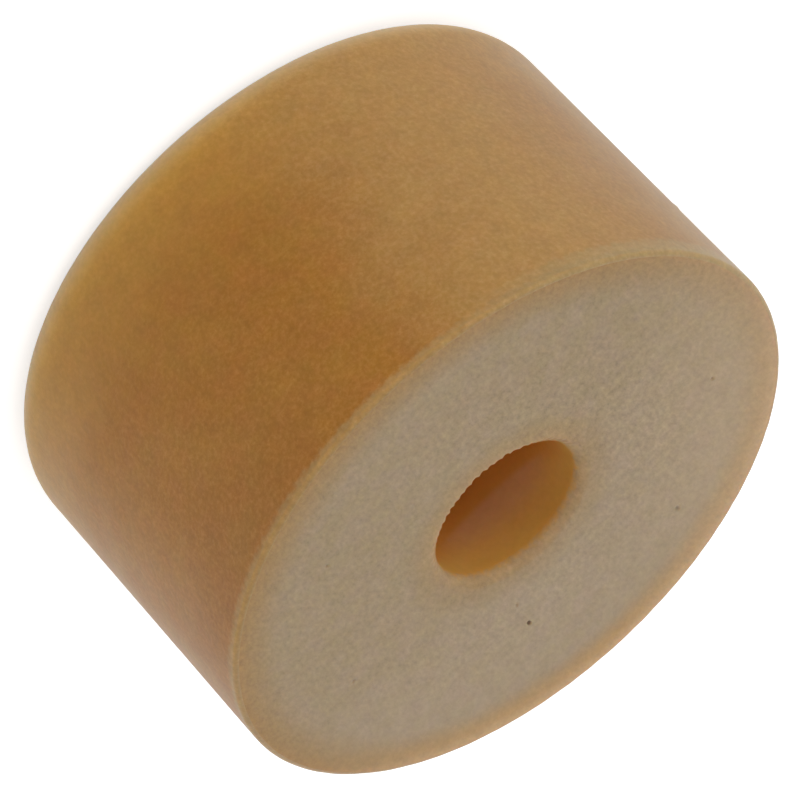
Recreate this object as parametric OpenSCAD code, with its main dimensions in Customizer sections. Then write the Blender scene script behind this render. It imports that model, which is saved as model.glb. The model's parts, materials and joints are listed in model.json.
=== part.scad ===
// A one-piece cast elastomer buffer: a thick ring that a rope-end rod passes through.
// It was cast upright in an open cup mould. The mould's floor rounded the lower edge, the mould's
// wall has a slight draft, and the upper end was trimmed flat, which left its edge almost sharp.
// Z runs up along the bore, and the origin is the middle of the lower face.

/* [Body] */
// Diameter across the trimmed upper face, measured to the sharp corner
body_d = 50; // [44:1:80]
// Height between the two flat faces
body_h = 30; // [20:1:40]
// Draft of the side wall in degrees: the body narrows towards its lower face
draft_angle = 1.4; // [0.4:0.1:2.5]

/* [Bore] */
// Diameter of the through bore for the threaded rod
bore_d = 12.5; // [8:0.5:18]

/* [Edges] */
// Radius of the trimmed upper rim
upper_rim_r = 0.4; // [0.2:0.1:2]
// Radius of the cast lower rim
lower_rim_r = 3; // [1:0.5:5]
// Radius of the bore's upper mouth
upper_mouth_r = 1; // [0.2:0.1:2]
// Radius of the bore's lower mouth
lower_mouth_r = 0.5; // [0.2:0.1:2]

/* [Hidden] */
$fn = 144;

polyurethane = [0.66, 0.49, 0.28];
upper_r = body_d / 2;
bore_r = bore_d / 2;
lower_r = upper_r - body_h * tan(draft_angle);

// Where the side wall faces: outwards, and a little down because of the draft
wall_normal = [cos(draft_angle), -sin(draft_angle)];
// The straight side lies a hair inside the roundings at its two ends, so each meets it in one clean edge
wall_inset = 0.0005;

// Middles of the four edge roundings in the half section, as [distance from the axis, height]
upper_rim = [upper_r - upper_rim_r * tan(45 + draft_angle / 2), body_h - upper_rim_r];
lower_rim = [lower_r - lower_rim_r * tan(45 - draft_angle / 2), lower_rim_r];
upper_mouth = [bore_r + upper_mouth_r, body_h - upper_mouth_r];
lower_mouth = [bore_r + lower_mouth_r, lower_mouth_r];

// One rounding of the half section
module rounding(middle, r) {
    translate(middle) circle(r);
}

// Half section of the ring: straight runs between the points where each rounding begins and ends
module half_section() {
    polygon([
        [bore_r, lower_mouth[1]],
        [lower_mouth[0], 0],
        [lower_rim[0], 0],
        lower_rim + (lower_rim_r - wall_inset) * wall_normal,
        upper_rim + (upper_rim_r - wall_inset) * wall_normal,
        [upper_rim[0], body_h],
        [upper_mouth[0], body_h],
        [bore_r, upper_mouth[1]]
    ]);
    rounding(upper_rim, upper_rim_r);
    rounding(lower_rim, lower_rim_r);
    rounding(upper_mouth, upper_mouth_r);
    rounding(lower_mouth, lower_mouth_r);
}

// The whole casting, turned about the bore axis
module buffer_body() {
    color(polyurethane) rotate_extrude() half_section();
}

buffer_body();
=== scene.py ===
# %% [markdown]
# # A cast rope buffer
# The real object is one thick ring of cast polyurethane. It sits on a rope-end rod and takes up shocks.
# It came out of an open cup mould: the side and the rounded lower edge are the mould's skin, the bore
# was formed by a pin, and the upper end was trimmed flat. How one material gets these three finishes is
# the lesson here.
#
# The solid model is loaded first. It fixes where everything is, so the looks need no fitting.

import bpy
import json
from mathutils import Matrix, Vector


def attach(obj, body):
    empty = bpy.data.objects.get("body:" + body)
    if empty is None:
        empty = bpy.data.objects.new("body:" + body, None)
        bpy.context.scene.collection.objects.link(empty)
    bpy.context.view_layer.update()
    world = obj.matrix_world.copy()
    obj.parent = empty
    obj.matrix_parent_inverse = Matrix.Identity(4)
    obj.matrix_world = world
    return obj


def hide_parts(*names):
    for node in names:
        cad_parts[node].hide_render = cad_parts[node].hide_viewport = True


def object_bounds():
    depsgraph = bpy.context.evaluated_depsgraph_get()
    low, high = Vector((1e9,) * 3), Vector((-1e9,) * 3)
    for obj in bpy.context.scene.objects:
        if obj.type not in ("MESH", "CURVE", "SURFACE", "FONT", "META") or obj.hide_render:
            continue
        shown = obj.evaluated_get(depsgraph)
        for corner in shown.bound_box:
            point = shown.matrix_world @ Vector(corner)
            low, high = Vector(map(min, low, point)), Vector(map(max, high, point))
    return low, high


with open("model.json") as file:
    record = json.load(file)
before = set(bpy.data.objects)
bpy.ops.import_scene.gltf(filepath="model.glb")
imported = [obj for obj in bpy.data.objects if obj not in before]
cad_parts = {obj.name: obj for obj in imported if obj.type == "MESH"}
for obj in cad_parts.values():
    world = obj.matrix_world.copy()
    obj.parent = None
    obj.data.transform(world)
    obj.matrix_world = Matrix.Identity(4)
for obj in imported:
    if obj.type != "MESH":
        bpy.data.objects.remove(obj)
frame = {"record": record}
cad_low, cad_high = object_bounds()
print("solid model, mm:", [round(1000 * side, 3) for side in cad_high - cad_low])

# %% [markdown]
# ## Millimetres
# Blender counts in metres, but a part like this is drawn in millimetres. So each length of the ring is
# written as on its drawing and multiplied by MM. The materials further down count in millimetres too.

# %% Tools for this script
import json
import math

import bmesh
import bpy
from mathutils import Quaternion, Vector, noise

MM = 0.001

# %% [markdown]
# ## The camera
# In the photograph the far side of the ring is hardly smaller than its near side. A wide lens from close
# by could show the ring as large, but its ellipses would converge, so the camera stands far away and has
# a long lens. It looks down by 31 degrees, and the picture is turned by the roll below. It aims at a
# point close to the bore's axis, near the middle of the ring.

# %% The camera
AIM_HEIGHT = 16.18 * MM
AIM_ASIDE = 0.066 * MM
CAMERA_DISTANCE = 1.487
CAMERA_ELEVATION = math.radians(31.05)
CAMERA_ROLL = math.radians(137.0)
LENS = 900

aim = Vector((AIM_ASIDE, 0, AIM_HEIGHT))
towards_camera = Vector((0, -math.cos(CAMERA_ELEVATION), math.sin(CAMERA_ELEVATION)))
camera_data = bpy.data.cameras.new("photo_camera")
camera_data.lens = LENS
camera_data.sensor_width = 36
camera_data.clip_start = 0.1
camera_data.clip_end = 20
camera = bpy.data.objects.new("photo_camera", camera_data)
bpy.context.scene.collection.objects.link(camera)
camera.location = aim + CAMERA_DISTANCE * towards_camera
level = (-towards_camera).to_track_quat("-Z", "Y")
camera.rotation_mode = "QUATERNION"
camera.rotation_quaternion = level @ Quaternion((0, 0, 1), CAMERA_ROLL)
bpy.context.scene.camera = camera
print("camera at", [round(x, 4) for x in camera.location])

# %% [markdown]
# ## The driving sizes
# Height, outer radius and bore come from the loaded model and its record, so they follow when the model
# changes. The draft of the wall and the four edge radii are the ones that the casting's drawing gives,
# and they are written here once.

# %% Sizes of the casting
height = cad_high.z - cad_low.z
upper_radius = min(cad_high.x, cad_high.y)
rod_bore = next(mount for mount in frame["record"]["mounts"] if mount["name"] == "rod_bore")
bore_radius = rod_bore["dims"]["r_mm"] * MM

DRAFT = math.radians(1.4)
UPPER_RIM = 0.4 * MM
LOWER_RIM = 3 * MM
UPPER_MOUTH = 1.0 * MM
LOWER_MOUTH = 0.5 * MM

lower_radius = upper_radius - height * math.tan(DRAFT)
print("outer radius, mm: %.2f above, %.2f below" % (upper_radius / MM, lower_radius / MM))
print("bore radius, mm: %.2f" % (bore_radius / MM))

# %% [markdown]
# ## The half section
# A cylinder with bevelled edges and a cut-out bore would give this form too, but with long thin faces
# that can't carry any relief. A casting like this is round, so it is turned from half of its section, as
# on a lathe, and the points of the section decide how fine the faces get.
# They make a closed loop: trimmed face, upper rim, drafted side, lower rim, lower end, and back up the
# bore. Every point remembers which skin the ring has from there on.

# %% Points on lines and arcs
def straight(start, end, count):
    """Evenly spaced points from start up to, but without, end."""
    return [start.lerp(end, i / count) for i in range(count)]


def on_arc(middle, radius, angle):
    """One point of an arc. The angle is in degrees from outward, turning up."""
    return middle + radius * Vector((math.cos(math.radians(angle)), math.sin(math.radians(angle))))


def rounding(middle, radius, start_angle, end_angle, count):
    """Points on an arc, without its last one."""
    turn = end_angle - start_angle
    return [on_arc(middle, radius, start_angle + turn * i / count) for i in range(count)]


# %% Middles and ends of the four roundings
# The side leans in towards its foot, so its outward direction points down by the draft.
SIDE_FACES = -math.degrees(DRAFT)

upper_rim_inset = UPPER_RIM * math.tan(math.pi / 4 + DRAFT / 2)
lower_rim_inset = LOWER_RIM * math.tan(math.pi / 4 - DRAFT / 2)
upper_rim = Vector((upper_radius - upper_rim_inset, height - UPPER_RIM))
lower_rim = Vector((lower_radius - lower_rim_inset, LOWER_RIM))
upper_mouth = Vector((bore_radius + UPPER_MOUTH, height - UPPER_MOUTH))
lower_mouth = Vector((bore_radius + LOWER_MOUTH, LOWER_MOUTH))

face_inside = on_arc(upper_mouth, UPPER_MOUTH, 90)
face_outside = on_arc(upper_rim, UPPER_RIM, 90)
side_top = on_arc(upper_rim, UPPER_RIM, SIDE_FACES)
side_foot = on_arc(lower_rim, LOWER_RIM, SIDE_FACES)
lower_outside = on_arc(lower_rim, LOWER_RIM, -90)
lower_inside = on_arc(lower_mouth, LOWER_MOUTH, -90)
bore_foot = on_arc(lower_mouth, LOWER_MOUTH, -180)
bore_top = on_arc(upper_mouth, UPPER_MOUTH, -180)
print("flat of the trimmed end, mm: %.2f wide" % ((face_outside - face_inside).length / MM))

# %% Points of the half section
TRIMMED, CAST, PINNED = range(3)  # trimmed end, mould's skin, skin formed by the pin

# the skin of each stretch, and its points, with their number last
stretches = [
    (TRIMMED, straight(face_inside, face_outside, 44)),
    (CAST, rounding(upper_rim, UPPER_RIM, 90, SIDE_FACES, 7)),
    (CAST, straight(side_top, side_foot, 60)),
    (CAST, rounding(lower_rim, LOWER_RIM, SIDE_FACES, -90, 12)),
    (CAST, straight(lower_outside, lower_inside, 26)),
    (PINNED, rounding(lower_mouth, LOWER_MOUTH, -90, -180, 5)),
    (PINNED, straight(bore_foot, bore_top, 34)),
    (TRIMMED, rounding(upper_mouth, UPPER_MOUTH, -180, -270, 9)),
]
section = [(point, skin) for skin, points in stretches for point in points]
print("half section:", len(section), "points")

# %% [markdown]
# ## Turning the section
# Each point of the section becomes a ring of vertices, and neighbouring rings are joined by four-sided
# faces. A Screw modifier would do the same, but here each face should keep its finish and each vertex
# is moved a little afterwards, so plain loops are clearer.

# %% Turn the section into a ring
AROUND = 480  # faces round the ring, a third of a millimetre long at the rim

ring_mesh = bmesh.new()
rings = []
for point, skin in section:
    row = []
    for step in range(AROUND):
        angle = 2 * math.pi * step / AROUND
        place = (point.x * math.sin(angle), -point.x * math.cos(angle), point.y)
        row.append(ring_mesh.verts.new(place))
    rings.append(row)

for i, (point, skin) in enumerate(section):
    row, next_row = rings[i], rings[(i + 1) % len(rings)]
    for step in range(AROUND):
        after = (step + 1) % AROUND
        face = ring_mesh.faces.new((row[step], next_row[step], next_row[after], row[after]))
        face.material_index = skin
        face.smooth = True
ring_mesh.normal_update()
print("turned ring:", len(ring_mesh.verts), "vertices")

# %% [markdown]
# ## Bubbles and a nib
# Trimming the upper end cut a few air bubbles open, and the mould left one tiny nib on the side. A bump
# map could only shade such spots, so the bubbles are real holes, 0.3 to 0.4 mm wide, with their insides
# in the shade, and the trimmed end's finish paints their insides darker as well, as painted shade. The
# mesh is made finer around each place first, to have enough vertices to move there.
# Each place is given as it would be on a drawing: a radius or a height, and an angle round the axis that
# starts at the side nearest the camera.

# %% Places of the bubbles and the nib
# radius of its place, angle round the axis in degrees, width and depth of the hole
bubbles = [
    (14.1 * MM, 162, 0.38 * MM, 0.28 * MM),
    (11.0 * MM, 158, 0.26 * MM, 0.08 * MM),
    (18.6 * MM, 211, 0.44 * MM, 0.09 * MM),
    (18.8 * MM, 253, 0.30 * MM, 0.09 * MM),
    (17.7 * MM, 44, 0.28 * MM, 0.08 * MM),
    (16.9 * MM, 97, 0.26 * MM, 0.08 * MM),
]
NIB_HEIGHT = 20.3 * MM
NIB_ANGLE = 270
NIB_WIDTH = 0.9 * MM
NIB_RISE = 0.07 * MM


def place_on_ring(radius, angle, z):
    """A point by its distance from the axis, its angle round it in degrees, and its height."""
    turn = math.radians(angle)
    return Vector((radius * math.sin(turn), -radius * math.cos(turn), z))


bubble_centres = [place_on_ring(radius, angle, height) for radius, angle, width, depth in bubbles]
nib_radius = upper_radius - (height - NIB_HEIGHT) * math.tan(DRAFT)
nib_centre = place_on_ring(nib_radius, NIB_ANGLE, NIB_HEIGHT)
print("bubbles:", len(bubbles), "and one nib, %.1f mm from the axis" % (nib_radius / MM))

# %% Finer patches
PATCH_MARGIN = 0.5 * MM


def refine(centre, reach, cuts):
    """Splits the edges within reach of a point, so that a small mark has enough vertices."""
    edges = [e for e in ring_mesh.edges if all((v.co - centre).length < reach for v in e.verts)]
    bmesh.ops.subdivide_edges(ring_mesh, edges=edges, cuts=cuts, use_grid_fill=True)


for centre, (radius, angle, width, depth) in zip(bubble_centres, bubbles):
    refine(centre, width + PATCH_MARGIN, cuts=3)
refine(nib_centre, NIB_WIDTH, cuts=2)
ring_mesh.normal_update()
print("with finer patches:", len(ring_mesh.verts), "vertices")

# %% [markdown]
# ## The surface relief
# No casting is perfectly smooth. Shrinkage leaves broad, shallow waves, the mould's polish leaves a fine
# orange peel, and the knife nicked the upper rim here and there. These go inwards from the nominal skin,
# a few hundredths of a millimetre, so the ring never grows past its drawing.
# A displacement texture could do this while rendering. Moving the vertices instead keeps the relief in
# the mesh, so that it shows in the outline, under grazing light and in every export.

# %% Waves, peel and nicks
WAVE_LENGTH = 9 * MM
WAVE_DEPTH = 0.03 * MM
PEEL_LENGTH = 1.3 * MM
PEEL_DEPTH = 0.012 * MM
NICK_LENGTH = 1.1 * MM
NICK_DEPTH = 0.06 * MM
NICK_REACH = 0.7 * MM


def unevenness(place, length, seed):
    """Smooth noise from 0 to 1 with bumps about as long as given."""
    return 0.5 + 0.5 * noise.noise(place / length + Vector((seed, 0, 0)))


def fade(distance, reach):
    """1 at the middle, and down to 0 at reach, with a soft start and end."""
    t = min(max(1 - distance / reach, 0), 1)
    return t * t * (3 - 2 * t)


def skin_depth(place, to_rim):
    """How far the skin lies inside the nominal one, at a place and its distance from the upper rim."""
    depth = WAVE_DEPTH * unevenness(place, WAVE_LENGTH, seed=3)
    depth += PEEL_DEPTH * unevenness(place, PEEL_LENGTH, seed=11)
    if to_rim < NICK_REACH:
        nicks = unevenness(place, NICK_LENGTH, seed=23) ** 2
        depth += NICK_DEPTH * fade(to_rim, NICK_REACH) * nicks
    return depth


# %% [markdown]
# ## The bore's upper mouth
# It was treated worst. The pin came out a little askew, so the mouth is wider on one side, and where the
# knife crossed into the bore it tore a row of small scallops out of the near edge. A sine wave round the
# mouth gives the row, and noise makes its teeth differ in place and size.

# %% The wider side and the torn edge
MOUTH_WIDER = 0.42 * MM
MOUTH_ANGLE = -63
MOUTH_REACH = 5 * MM
TEETH = 60
TOOTH_DEPTH = 0.85 * MM
TOOTH_REACH = 1.2 * MM
TOOTH_LENGTH = 0.8 * MM
WANDER = 3  # how far noise shifts the teeth along the row, in radians of their sine wave
WANDER_LENGTH = 2 * MM


def widening(outward, to_mouth):
    """How far the mouth's wider side moves out at a distance from the mouth."""
    side_share = max(outward.dot(place_on_ring(1, MOUTH_ANGLE, 0)), 0)
    return MOUTH_WIDER * side_share * fade(to_mouth, MOUTH_REACH)


def tear(place, outward, to_mouth):
    """How deep the knife tore into the mouth's near edge at a place."""
    turn = math.atan2(place.x, -place.y)
    scallop = abs(math.sin(TEETH / 2 * turn + WANDER * unevenness(place, WANDER_LENGTH, seed=41)))
    torn = scallop * unevenness(place, TOOTH_LENGTH, seed=37) * max(-outward.y, 0)
    return TOOTH_DEPTH * torn * fade(to_mouth, TOOTH_REACH)


# %% [markdown]
# ## Moving the vertices
# Every move is worked out on the plain turned ring, and all of them are made afterwards. So no move
# builds on another one, and the deepest can be measured.

# %% Move the skin
DRAWN = Vector((1, 0.6, 1))  # the knife's stroke ran along Y and made marks longer that way


def hole_depth(place):
    """How deep the hole of a bubble is at a place. It is half an egg, longer along the stroke."""
    depth = 0
    for centre, (radius, angle, width, deepest) in zip(bubble_centres, bubbles):
        away = ((place - centre) * DRAWN).length
        if away < width / 2:
            depth += deepest * math.sqrt(1 - (2 * away / width) ** 2)
    return depth


rim_place = Vector((upper_radius, height))
mouth_place = Vector((bore_radius, height))
moves = []
for vertex in ring_mesh.verts:
    place = vertex.co
    in_section = Vector((place.xy.length, place.z))
    shift = -skin_depth(place, (in_section - rim_place).length) * vertex.normal
    to_mouth = (in_section - mouth_place).length
    if to_mouth < MOUTH_REACH:
        outward = Vector((place.x, place.y, 0)).normalized()
        shift += widening(outward, to_mouth) * outward
        shift += tear(place, outward, to_mouth) * outward
    shift.z -= hole_depth(place)
    shift += NIB_RISE * fade((place - nib_centre).length, NIB_WIDTH / 2) * vertex.normal
    moves.append(shift)
for vertex, shift in zip(ring_mesh.verts, moves):
    vertex.co += shift
print("deepest move, mm: %.3f" % (max(shift.length for shift in moves) / MM))

# %% [markdown]
# ## From mesh to object
# So far the mesh only existed in memory, where it is quick to work on. Now it becomes an object of the
# scene, under the name of the piece.

# %% The ring as an object
cast_ring_data = bpy.data.meshes.new("cast_ring")
ring_mesh.to_mesh(cast_ring_data)
ring_mesh.free()
cast_ring = bpy.data.objects.new("cast_ring", cast_ring_data)
bpy.context.scene.collection.objects.link(cast_ring)
print("faces:", len(cast_ring_data.polygons))

# %% [markdown]
# ## A small language for materials
# A finish is a graph of nodes. Written call by call, even a short sum becomes unreadable, so a few small
# helpers come first. `Signal` wraps one socket. Its operators add Math nodes, so `1 - mask` is what it
# says.

# %% A wrapped socket
class Signal:
    """One output socket of a graph, ready for sums."""

    def __init__(self, graph, socket):
        self.graph = graph
        self.socket = socket

    def out(self, name):
        """Another output of the same node."""
        return Signal(self.graph, self.socket.node.outputs[name])

    def maths(self, operation, first, second):
        """A Math node on two signals, or on a signal and a number."""
        return self.graph.node("ShaderNodeMath", {"operation": operation}, {0: first, 1: second})

    def larger(self, other):
        """This or the other, whichever is larger."""
        return self.maths("MAXIMUM", self, other)

    def __add__(self, other):
        return self.maths("ADD", self, other)

    def __radd__(self, other):
        return self.maths("ADD", other, self)

    def __sub__(self, other):
        return self.maths("SUBTRACT", self, other)

    def __rsub__(self, other):
        return self.maths("SUBTRACT", other, self)

    def __mul__(self, other):
        return self.maths("MULTIPLY", self, other)

    def __rmul__(self, other):
        return self.maths("MULTIPLY", other, self)


# %% [markdown]
# `Graph` makes every other node with one method, from its type, its settings, and the values or links
# of its sockets. The settings come first, because some of them change which sockets a node has.

# %% A graph of nodes
class Graph:
    """A tree of nodes that starts empty."""

    def __init__(self, tree):
        self.tree = tree
        self.tree.nodes.clear()

    def node(self, kind, settings=None, sockets=None):
        """Adds a node, with the values or links of its sockets. Gives its first output."""
        made = self.tree.nodes.new(kind)
        for name, value in (settings or {}).items():
            setattr(made, name, value)
        for name, value in (sockets or {}).items():
            if isinstance(value, Signal):
                self.tree.links.new(value.socket, made.inputs[name])
            else:
                made.inputs[name].default_value = value
        return Signal(self, next((s for s in made.outputs if s.enabled), None))


# %% [markdown]
# ## Places on the ring
# Every mark of a finish starts from where a point lies: how high, how far from the axis, or how far
# towards one side. An unwrapped map could say that as well, but it would have a seam somewhere. The
# ring's own coordinates have none. They are taken in millimetres.

# %% Places on the ring
def scaled(place, shares):
    """A place multiplied axis by axis."""
    return place.graph.node("ShaderNodeVectorMath", {"operation": "MULTIPLY"}, {0: place, 1: shares})


def height_of(place):
    """How high a point is above the lower end."""
    return place.graph.node("ShaderNodeSeparateXYZ", {}, {"Vector": place}).out("Z")


def radius_of(place):
    """How far a point is from the bore's axis."""
    flat = scaled(place, (1, 1, 0))
    return place.graph.node("ShaderNodeVectorMath", {"operation": "LENGTH"}, {0: flat}).out("Value")


def toward(place, angle):
    """How far a point lies from the axis towards an angle round it, in degrees."""
    sockets = {0: place, 1: place_on_ring(1, angle, 0)}
    return place.graph.node("ShaderNodeVectorMath", {"operation": "DOT_PRODUCT"}, sockets).out("Value")


# %% [markdown]
# ## Masks and grain
# A mask is 1 where a mark covers the skin, 0 where it doesn't, and soft in between. It rises or falls
# between two heights, between two distances from the axis, or towards one side of the ring. Noise gives
# the grain, and breaks up borders that would look drawn with a ruler.

# %% Masks and grain
def rise(value, start, end):
    """0 below start, 1 above end, soft in between. With start above end it falls instead."""
    ramp = {"Value": value, "From Min": start, "From Max": end}
    return value.graph.node("ShaderNodeMapRange", {"interpolation_type": "SMOOTHSTEP"}, ramp)


def on_side(place, angle, start, end):
    """A mask over one side of the ring: it rises between two distances towards an angle."""
    return rise(toward(place, angle), start, end)


def grain_of(place, size, detail=2.0, roughness=0.5):
    """Noise from 0 to 1 whose bumps are about as long as size, in millimetres."""
    sockets = {"Vector": place, "Scale": 1 / size, "Detail": detail, "Roughness": roughness}
    return place.graph.node("ShaderNodeTexNoise", {"noise_dimensions": "3D"}, sockets)


# %% [markdown]
# ## A finish
# `Finish` is the graph of one material. It knows the place of each point, lays coats of colour over each
# other, tints and dents the result, and gives the material.

# %% A finish
class Finish(Graph):
    """The graph of one material of the ring or its table."""

    def __init__(self, name):
        self.material = bpy.data.materials.new(name)
        self.material.use_nodes = True
        super().__init__(self.material.node_tree)

    def place(self):
        """Where a point of the surface is, in millimetres."""
        sockets = {0: self.node("ShaderNodeTexCoord").out("Object"), "Scale": 1 / MM}
        return self.node("ShaderNodeVectorMath", {"operation": "SCALE"}, sockets)

    def mix(self, factor, first, second, way="MIX"):
        """One colour laid over another."""
        # A Mix node has pairs of sockets for numbers, vectors and colours: 6 and 7 are its colours.
        settings = {"data_type": "RGBA", "blend_type": way}
        return self.node("ShaderNodeMix", settings, {0: factor, 6: first, 7: second})

    def coats(self, base, layers):
        """Lays coats over a base colour, one after the other. Each is a mask and its colour."""
        colour = base
        for mask, paint in layers:
            colour = self.mix(mask, colour, paint)
        return colour

    def tint(self, colour, value):
        """A colour made lighter or darker by a value around 1."""
        grey = self.node("ShaderNodeCombineColor", {}, {"Red": value, "Green": value, "Blue": value})
        return self.mix(1, colour, grey, "MULTIPLY")

    def dents(self, height_signal, depth):
        """A normal from a height signal that runs from 0 to 1 over a depth, in millimetres."""
        sockets = {"Height": height_signal, "Distance": depth * MM, "Strength": 1}
        return self.node("ShaderNodeBump", {}, sockets)

    def surface(self, shader):
        """Ends the graph with its shader, and gives the material."""
        self.node("ShaderNodeOutputMaterial", {}, {"Surface": shader})
        print(self.material.name, "has", len(self.tree.nodes), "nodes")
        return self.material


# %% [markdown]
# ## What the three finishes share
# All three are the same ochre polyurethane. Light enters it, scatters for a few millimetres and comes
# out warmer, so thin edges glow. A plain opaque colour would look like paint. Subsurface scattering lets
# the light in, and red travels furthest.
# The skin is satin: dull when looked at straight, with a pale sheen at grazing angles.

# %% The polyurethane shader
def polyurethane(finish, colour, roughness, normal, satin):
    """The shader for one finish of the casting. satin is the strength of its pale sheen."""
    sockets = {
        "Base Color": colour,
        "Roughness": roughness,
        "Normal": normal,
        "IOR": 1.5,
        "Specular IOR Level": 0.25,
        "Subsurface Weight": 0.7,
        "Subsurface Scale": 3.0 * MM,
        "Subsurface Radius": (1.0, 0.4, 0.12),  # how far red, green and blue travel, as shares of it
        "Sheen Weight": satin,
        "Sheen Roughness": 0.5,
        "Sheen Tint": (1, 1, 1, 1),
    }
    return finish.node("ShaderNodeBsdfPrincipled", {}, sockets)


# %% [markdown]
# ## Colours
# A paint chart gives a colour as it looks on a screen, from 0 to 255. The shader counts light, so each
# number is converted, once and here.

# %% Paint-chart colours
def swatch(red, green, blue):
    """A colour as a paint chart gives it, as the shader needs it."""
    def linear(level):
        share = level / 255
        return share / 12.92 if share < 0.04045 else ((share + 0.055) / 1.055) ** 2.4
    return (linear(red), linear(green), linear(blue), 1)


# %% [markdown]
# ## The mould's skin
# The side shows the full ochre, a little deeper in soft patches where the resin flowed together. Its
# fine grain comes from the mould. It is calmer near the foot on the right, has pale flecks on its peaks,
# and faint ruddy patches cross it. A pale painted sheen, light reflected and laid in as colour, covers
# the left side, where the flecks are greyer. The far left beyond it is painted duller and greyer, as a
# reflection at grazing angles. The foot is painted yellower and paler towards the rounded lower edge, as
# light from the table coming through. A pale broken band of painted highlight follows the upper rim, the
# very top of its rounding is painted darker against its own highlight, and a faint painted sheen lies
# just below the rim on the left.
# A painted image could show all this, but only from one side and at one size. Instead each mark is a
# mask between 0 and 1 that lays one more coat of colour over the last one.

# %% Colours of the mould's skin
OCHRE = swatch(169, 114, 4)
DEEP_OCHRE = swatch(168, 109, 0)
RUDDY_OCHRE = swatch(176, 108, 30)
CHALK = swatch(205, 172, 124)
# A greyer tone for the flecks inside the painted sheen on the left side.
PAINTED_SHEEN_CHALK = swatch(198, 182, 158)
# The foot and its rounded lower edge, painted yellower and paler as light from the table.
FOOT_GLOW_OCHRE = swatch(211, 162, 68)
UNDER_GLOW_OCHRE = swatch(222, 183, 116)
# The far left painted duller and greyer, as a reflection of the white room at grazing angles.
GRAZING_SHEEN_OCHRE = swatch(165, 123, 62)
SHADED_OCHRE = swatch(146, 88, 0)
# Painted highlight along the upper rim, and its rounding's top painted darker against its own highlight.
RIM_HIGHLIGHT_PALE = swatch(167, 134, 76)
RIM_TOP = swatch(150, 122, 74)
# A pale painted sheen: light reflected on the ring's left side, laid in as colour.
PAINTED_SHEEN_OCHRE = swatch(189, 150, 84)
# A faint painted sheen just below the rim on the ring's left.
RIM_PAINTED_SHEEN = swatch(162, 148, 102)
print("ochre as the shader needs it:", [round(part, 3) for part in OCHRE[:3]])

# %% Where its marks lie
# Heights above the lower end, in millimetres: where a mark starts, and where it is full
UPPER_END = height / MM
FOOT_HEIGHTS = (13, 3)
FOOT_EDGE_HEIGHTS = (5, 1)
UNDERSIDE_HEIGHTS = (3.4, 0.6)
SHADED_HEIGHTS = (19, 27)
CALM_HEIGHTS = (20, 6)
RIM_BAND_HEIGHTS = (UPPER_END - 0.75, UPPER_END)
RIM_TOP_HEIGHTS = (UPPER_END - 0.32, UPPER_END)
RIM_PAINTED_SHEEN_HEIGHTS = (UPPER_END - 1.5, UPPER_END - 0.9)

# Sides of the ring: an angle round the axis, and how far towards it a mark starts and is full
SHADED_SIDE = (48, 19, 25)
GRAZING_SHEEN_SIDE = (-98, 14.0, 24.6)
RIM_PAINTED_SHEEN_SIDE = (-70, 14, 23)
CALM_SIDE = (30, 14, 23)
# Where the painted sheen lies: an angle round the axis, and distances towards it.
PAINTED_SHEEN_ANGLE = -37
PAINTED_SHEEN_DISTANCES = (21.2, 26.2)
print("the rim's marks lie above %.1f mm" % RIM_PAINTED_SHEEN_HEIGHTS[0])

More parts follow.
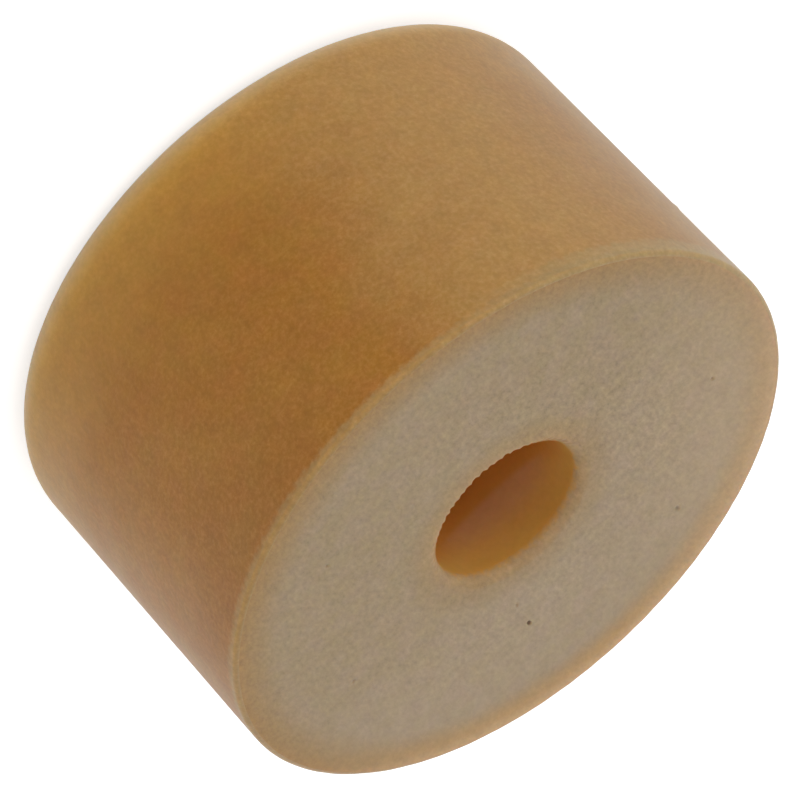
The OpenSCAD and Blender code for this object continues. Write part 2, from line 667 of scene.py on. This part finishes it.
# %% Finish of the mould's skin
def make_cast_skin():
    """The side and the lower end, as the mould left them."""
    finish = Finish("cast_skin")
    place = finish.place()
    z = height_of(place)
    grain = grain_of(place, size=0.4, detail=3.0, roughness=0.7)
    blotches = grain_of(place, size=1.6)
    # Noise lies mostly between 0.3 and 0.7, and the limits decide how much of the skin a mark covers.
    patches = rise(grain_of(place, size=5, detail=2.0, roughness=0.7), 0.35, 0.65)
    ruddy = rise(grain_of(place, size=2.2), 0.4, 0.65)
    flecks = rise(grain, 0.35, 0.85)
    strength = 1 - 0.4 * on_side(place, *CALM_SIDE) * rise(z, *CALM_HEIGHTS)

    # Painted sheen: a pale reflection laid over the ring's left side as colour, with greyer flecks in
    # it.
    towards_painted_sheen = toward(place, PAINTED_SHEEN_ANGLE) + 2 * grain_of(place, size=6)
    painted_sheen = rise(towards_painted_sheen, *PAINTED_SHEEN_DISTANCES)
    # Painted light: the foot gets yellower and paler towards the lower edge, as if lit from the table.
    foot = 0.45 * rise(z, *FOOT_HEIGHTS) + 0.55 * rise(z, *FOOT_EDGE_HEIGHTS)
    foot = foot * (1 - 0.7 * painted_sheen)
    shaded = on_side(place, *SHADED_SIDE) * rise(z, *SHADED_HEIGHTS)
    # Painted reflection: the far left is greyed as if the white room shone on it at grazing angles.
    grazing_sheen = on_side(place, *GRAZING_SHEEN_SIDE)
    broken_z = z + 0.8 * grain_of(place, size=0.5)
    # A faint painted sheen just below the rim on the ring's left side.
    rim_painted_sheen = on_side(place, *RIM_PAINTED_SHEEN_SIDE) * rise(broken_z, *RIM_PAINTED_SHEEN_HEIGHTS)

    colour = finish.coats(OCHRE, [
        (patches, DEEP_OCHRE),
        (0.3 * ruddy, RUDDY_OCHRE),
        (0.9 * foot, FOOT_GLOW_OCHRE),
        (0.55 * painted_sheen, PAINTED_SHEEN_OCHRE),
        (0.28 * shaded, SHADED_OCHRE),
        (0.75 * grazing_sheen, GRAZING_SHEEN_OCHRE),
        # painted light on the rounded lower edge, lifting it out of the table's shade
        (rise(z, *UNDERSIDE_HEIGHTS), UNDER_GLOW_OCHRE),
        # painted highlight along the rim, its rounding's top painted darker, a faint painted sheen on
        # the left
        (rise(broken_z, *RIM_BAND_HEIGHTS), RIM_HIGHLIGHT_PALE),
        (rise(z, *RIM_TOP_HEIGHTS), RIM_TOP),
        (0.35 * rim_painted_sheen, RIM_PAINTED_SHEEN),
        (0.13 * strength * flecks, finish.mix(painted_sheen, CHALK, PAINTED_SHEEN_CHALK)),
    ])
    contrast = (0.48 - 0.06 * painted_sheen) * strength
    colour = finish.tint(colour, 0.88 + contrast * (grain - 0.5) + 0.26 * blotches)
    roughness = 0.5 + 0.06 * patches + 0.08 * grain
    normal = finish.dents(grain, depth=0.018)
    return finish.surface(polyurethane(finish, colour, roughness, normal, satin=0.33))


# %% [markdown]
# ## The trimmed end
# The knife opened the skin, and the cut scatters more light: it looks greyer, paler and matt, with a
# grain of half a millimetre that the stroke drew out. The grain is rougher beside the bore and calm
# towards the far rim, and faint pinkish patches cross it. Painted shade makes its near side warmer and
# darker, and painted light makes it paler towards the ring's left. Towards the rim, the last four
# millimetres are painted as a warm glow of light through the thin edge, paler on the far side, with a
# pale painted highlight along the far edge. A warmer ring three millimetres wide lies round the bore. At
# the mouth the cut is pressed pale where the knife went over it, and where it tore, the near edge is
# painted brown as shade. The rounded mouth is painted lighter as a glow, and fades from the cut into the
# pin's skin. A border between two materials would be a hard line there, so this finish itself ends in
# the bore's colour.

# %% Colours of the trimmed end
TRIM_GREY = swatch(163, 143, 115)
TRIM_PINK = swatch(165, 140, 127)
TRIM_WARM = swatch(153, 132, 97)
# The mouth's rounding painted lighter, as a glow of light scattered through it.
LIP_GLOW_TAN = swatch(173, 146, 104)
BORE_TAN = swatch(157, 128, 89)
# A paler, yellower painted glow of light through the far rim.
FAR_GLOW_TAN = swatch(177, 142, 95)
# Painted light: the cut gets paler towards the ring's left side.
LEFT_LIGHT_PALE = swatch(182, 157, 124)
# Painted shade inside the bubbles' holes.
PIT_SHADE_BROWN = swatch(128, 110, 84)
# The near edge of the mouth is really torn; its brown is painted shade along it.
TORN_SHADE_BROWN = swatch(150, 114, 66)
TORN_PALE = swatch(163, 136, 94)
# A pale painted highlight along the very edge of the far rim.
EDGE_HIGHLIGHT_PALE = swatch(188, 164, 126)
MOUTH_OCHRE = swatch(195, 147, 68)
# A warm painted glow of light through the thin rim, over the cut's last millimetres.
RIM_GLOW_TAN = swatch(157, 125, 80)
print("the cut's grey as the shader needs it:", [round(part, 3) for part in TRIM_GREY[:3]])

# %% Where the marks of the cut lie
# Distances from the axis, in millimetres: where a mark starts, and where it is full
RIM_AT = upper_radius / MM
MOUTH_AT = bore_radius / MM + UPPER_MOUTH / MM
CALM_RADII = (12, 21)
ROUGH_RADII = (18, 12)
RIM_GLOW_RADII = (RIM_AT - 4.6, RIM_AT - 0.4)
FAR_RIM_GLOW_RADII = (RIM_AT - 4.0, RIM_AT - 0.8)
FAR_EDGE_RADII = (RIM_AT - 1.8, RIM_AT - 0.4)
WARM_BORE_RADII = (MOUTH_AT + 3.0, MOUTH_AT - 0.3)
PRESSED_RADII = (MOUTH_AT + 2.2, MOUTH_AT + 0.4)
FACE_RADII = (MOUTH_AT + 0.4, MOUTH_AT + 0.8)
TORN_RADII = (MOUTH_AT + 0.1, MOUTH_AT - 0.5)
LIP_RADII = (MOUTH_AT - 0.1, MOUTH_AT - 0.9)

# Sides of the ring, and heights, as for the mould's skin
# The near side of the cut is painted warmer and darker as shade.
NEAR_SHADE_SIDE = (0, -16, 12)
NEAR_EDGE_SIDE = (0, 0, 4)
LIT_LEFT_SIDE = (-115, 8, 25)
ROUGH_SIDE = (-65, 2, 10)
CALM_FAR_SIDE = (185, -8, 10)
FAR_RIM_GLOW_SIDE = (190, 2, 20)
MOUTH_HEIGHTS = (UPPER_END + 0.1, UPPER_END - 0.7)
PIT_HEIGHTS = (UPPER_END - 0.05, UPPER_END - 0.16)
print("the cut ends at the mouth, %.2f mm from the axis" % MOUTH_AT)

# %% Finish of the trimmed end
def make_trimmed_end():
    """The flat upper end and the rounded mouth of the bore, as the knife left them."""
    finish = Finish("trimmed_end")
    place = finish.place()
    z = height_of(place)
    radius = radius_of(place)
    drawn = scaled(place, DRAWN)
    grain = grain_of(drawn, size=0.4, detail=4.0, roughness=0.7)
    blotches = grain_of(drawn, size=1.3)
    clouds = rise(grain_of(place, size=12, detail=3.0, roughness=0.55), 0.3, 0.7)
    pinkish = rise(grain_of(place, size=2.5), 0.4, 0.65)
    calm = rise(radius, *CALM_RADII) * on_side(place, *CALM_FAR_SIDE)
    rough = on_side(place, *ROUGH_SIDE) * rise(radius, *ROUGH_RADII)
    strength = 0.84 - 0.34 * calm + 0.24 * rough
    # Painted glow: the far rim of the cut is paler and yellower, as light coming through it.
    far_rim_glow = rise(radius, *FAR_RIM_GLOW_RADII) * on_side(place, *FAR_RIM_GLOW_SIDE)

    # The mouth's edge lies further out on its wider side, and the marks round it go with it.
    wider = MOUTH_WIDER / MM / MOUTH_AT * toward(place, MOUTH_ANGLE).larger(0)
    from_bore = radius - wider
    near_edge = on_side(place, *NEAR_EDGE_SIDE)
    torn = rise(from_bore, *TORN_RADII) * near_edge
    pressed = rise(from_bore, *PRESSED_RADII) * near_edge
    bore_warmth = rise(from_bore, *WARM_BORE_RADII)
    on_face = rise(from_bore, *FACE_RADII)
    broken_z = z + grain_of(place, size=0.45)

    colour = finish.coats(TRIM_GREY, [
        # random clouds, the bore's warmer ring, and painted shade that makes the near side warmer
        (0.3 * clouds + 0.45 * bore_warmth + 0.5 * on_side(place, *NEAR_SHADE_SIDE), TRIM_WARM),
        (0.2 * pinkish, TRIM_PINK),
        # painted glow of light through the thin rim
        (rise(radius, *RIM_GLOW_RADII), RIM_GLOW_TAN),
        # painted glow on the far rim, and a pale painted highlight at its very edge
        (far_rim_glow, FAR_GLOW_TAN),
        (0.6 * far_rim_glow * rise(radius, *FAR_EDGE_RADII), EDGE_HIGHLIGHT_PALE),
        # painted light, paler towards the ring's left side
        (0.5 * on_side(place, *LIT_LEFT_SIDE), LEFT_LIGHT_PALE),
        (0.5 * bore_warmth, BORE_TAN),
        (0.5 * pressed, TORN_PALE),
        # painted glow: the rounded mouth is lighter, against the shade it turns into
        (0.6 * rise(from_bore, *LIP_RADII), LIP_GLOW_TAN),
        # painted shade: the torn near edge of the mouth is browner
        (0.6 * torn, TORN_SHADE_BROWN),
    ])
    colour = finish.tint(colour, 0.89 + strength * (grain - 0.5) + 0.22 * blotches)
    colour = finish.coats(colour, [
        # painted shade inside the bubbles' holes
        (rise(z, *PIT_HEIGHTS) * on_face, PIT_SHADE_BROWN),
        (rise(broken_z, *MOUTH_HEIGHTS) * (1 - on_face), MOUTH_OCHRE),
    ])
    roughness = 0.62 + 0.12 * grain
    normal = finish.dents(grain, depth=0.012)
    return finish.surface(polyurethane(finish, colour, roughness, normal, satin=0.05))


# %% [markdown]
# ## The bore
# A polished pin formed the bore, so its wall is a bit smoother than the side. It looks much darker and
# redder, but a darker colour would get that right from one side only. Light bounces off ochre walls
# several times in there, and the render works that out by itself. On top of that, painted shade makes
# the wall's colour a bit deeper further in, sooner on the two flanks than on the far side, like the
# shadow of the near edge, so the height that drives it is slanted. A faint painted highlight lies a few
# millimetres inside, on the far wall.

# %% Colours of the bore, and where its marks lie
BORE_OCHRE = swatch(205, 151, 76)
# Painted shade deeper in the bore, following the shadow of the near edge.
BORE_SHADE = swatch(203, 131, 54)
# A faint painted highlight on the bore's far wall.
BORE_HIGHLIGHT = swatch(206, 151, 110)

SLANT = 0.75
BORE_SHADE_HEIGHTS = (UPPER_END - 4, UPPER_END - 8)
BORE_HIGHLIGHT_HEIGHTS = (UPPER_END - 2.6, UPPER_END - 5.2)
BORE_HIGHLIGHT_SLANTED_HEIGHTS = (UPPER_END - 6.6, UPPER_END - 5.8)
BORE_HIGHLIGHT_DISTANCES = (2.5, 5.5)
FADING_HEIGHTS = (UPPER_END - 3, UPPER_END - 1)
print("the bore's colour gets deeper below %.1f mm" % BORE_SHADE_HEIGHTS[0])

# %% Finish of the bore
def make_bore_skin():
    """The wall of the bore and its lower mouth, as the pin left them."""
    finish = Finish("bore_skin")
    place = finish.place()
    z = height_of(place)
    grain = grain_of(place, size=0.6, detail=3.0, roughness=0.6)
    far_side = toward(place, 180)
    # A height tilted towards the far side, so the painted shade and highlight follow the near edge's
    # shadow.
    slanted = z + SLANT * (far_side - bore_radius / MM)
    # Painted highlight: a faint pale band on the far wall, a few millimetres inside.
    bore_highlight = rise(slanted, *BORE_HIGHLIGHT_SLANTED_HEIGHTS) * rise(far_side, *BORE_HIGHLIGHT_DISTANCES)
    bore_highlight = bore_highlight * rise(z, *BORE_HIGHLIGHT_HEIGHTS)
    colour = finish.coats(BORE_OCHRE, [
        # painted shade further in, slanted like the near edge's shadow
        (rise(slanted, *BORE_SHADE_HEIGHTS), BORE_SHADE),
        # the painted highlight on the far wall
        (0.6 * bore_highlight, BORE_HIGHLIGHT),
        (rise(z, *FADING_HEIGHTS), MOUTH_OCHRE),
    ])
    colour = finish.tint(colour, 0.9 + 0.2 * grain)
    roughness = 0.45 + 0.1 * grain
    normal = finish.dents(grain, depth=0.012)
    return finish.surface(polyurethane(finish, colour, roughness, normal, satin=0.0))


# %% [markdown]
# ## Dressing the ring
# Each face already knows its skin by number, so the finishes only have to be added in that order. The
# next two calls put the ring under the body named root, and hide the node of the solid model that it
# stands for.

# %% Dress the ring
for make_finish in (make_trimmed_end, make_cast_skin, make_bore_skin):
    cast_ring_data.materials.append(make_finish())
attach(cast_ring, "root")
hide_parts("buffer_body")
print("finishes:", [material.name for material in cast_ring_data.materials])

# %% [markdown]
# ## The table
# The ring stands on a plain white table. Its upper side is diffuse, so it sends light back into the
# ring's foot and keeps a soft shadow. More light would make it whiter, but would also bleach the ring.
# So it glows a little instead, and only to the camera and in reflections.

# %% The table's white
TABLE_WHITE = 0.62
TABLE_LIFT = 0.68


def seen_directly(graph):
    """1 for what the camera, a reflection or clear material sees, and 0 for all other light."""
    path = graph.node("ShaderNodeLightPath")
    seen = path.out("Is Camera Ray")
    for name in ("Is Glossy Ray", "Is Transmission Ray"):
        seen = seen.larger(path.out(name))
    return seen


def make_table_white():
    """A diffuse white that also glows, but only where it is seen directly."""
    finish = Finish("table_white")
    white = (TABLE_WHITE, TABLE_WHITE, TABLE_WHITE, 1)
    paper = finish.node("ShaderNodeBsdfDiffuse", {}, {"Color": white})
    glow = finish.node("ShaderNodeEmission", {}, {"Strength": seen_directly(finish) * TABLE_LIFT})
    return finish.surface(finish.node("ShaderNodeAddShader", {}, {0: paper, 1: glow}))


# %% The table
TABLE_REACH = 3.0

table_mesh = bmesh.new()
bmesh.ops.create_grid(table_mesh, x_segments=8, y_segments=8, size=TABLE_REACH)
table_data = bpy.data.meshes.new("table")
table_mesh.to_mesh(table_data)
table_mesh.free()
table_data.materials.append(make_table_white())
table = bpy.data.objects.new("table", table_data)
bpy.context.scene.collection.objects.link(table)
table.location.z = cad_low.z
print("table reaches", TABLE_REACH, "m each way")

# %% [markdown]
# ## The surroundings
# The photograph was lit softly from all round. A world of one even white gives most of that light, and
# keeps the shadows as faint as they are there. What the camera sees of it is full white.

# %% The surroundings
ROOM_LIGHT = 0.69

world = bpy.data.worlds.new("white_room")
bpy.context.scene.world = world
world.use_nodes = True
room = Graph(world.node_tree)
room_strength = ROOM_LIGHT + (1 - ROOM_LIGHT) * seen_directly(room)
white_light = {"Color": (1, 1, 1, 1), "Strength": room_strength}
room_light = room.node("ShaderNodeBackground", {}, white_light)
room.node("ShaderNodeOutputWorld", {}, {"Surface": room_light})
print("the room gives", ROOM_LIGHT, "of full white")

# %% [markdown]
# ## The lamps
# A bit more light came from the upper right of the picture, which is the ring's left side. Three large
# square lamps add it: one at the left for the side, one above for the trimmed end, and a low one behind
# that draws a dull gleam over the end. Small lamps would give hard shadows and sharp highlights.
# A surface that faces the room and a lamp gets about the colour that is written in its finish.

# %% The lamps
LAMP_DISTANCE = 1.6
LAMP_SIZE = 0.9


def softbox(name, azimuth, elevation, share):
    """A square lamp that points at the ring. share is what it adds to a white surface facing it."""
    lamp_data = bpy.data.lights.new(name, "AREA")
    lamp_data.shape = "SQUARE"
    lamp_data.size = LAMP_SIZE
    # Light thins out with the square of the distance, so the power grows with it.
    lamp_data.energy = share * math.pi ** 2 * LAMP_DISTANCE ** 2
    lamp = bpy.data.objects.new(name, lamp_data)
    bpy.context.scene.collection.objects.link(lamp)
    lift = math.radians(elevation)
    direction = place_on_ring(math.cos(lift), azimuth, math.sin(lift))
    lamp.location = aim + LAMP_DISTANCE * direction
    lamp.rotation_mode = "QUATERNION"
    lamp.rotation_quaternion = (-direction).to_track_quat("-Z", "Y")
    print(name, "gives %.1f W" % lamp_data.energy)


softbox("side_softbox", azimuth=-62, elevation=16, share=0.17)
softbox("top_softbox", azimuth=0, elevation=60, share=0.14)
softbox("back_softbox", azimuth=180, elevation=8, share=0.18)

# %% [markdown]
# ## Colours as written
# The Standard view shows each colour as the shader makes it, so nothing is bent towards a film look.

# %% Finish the scene
bpy.context.scene.view_settings.view_transform = "Standard"
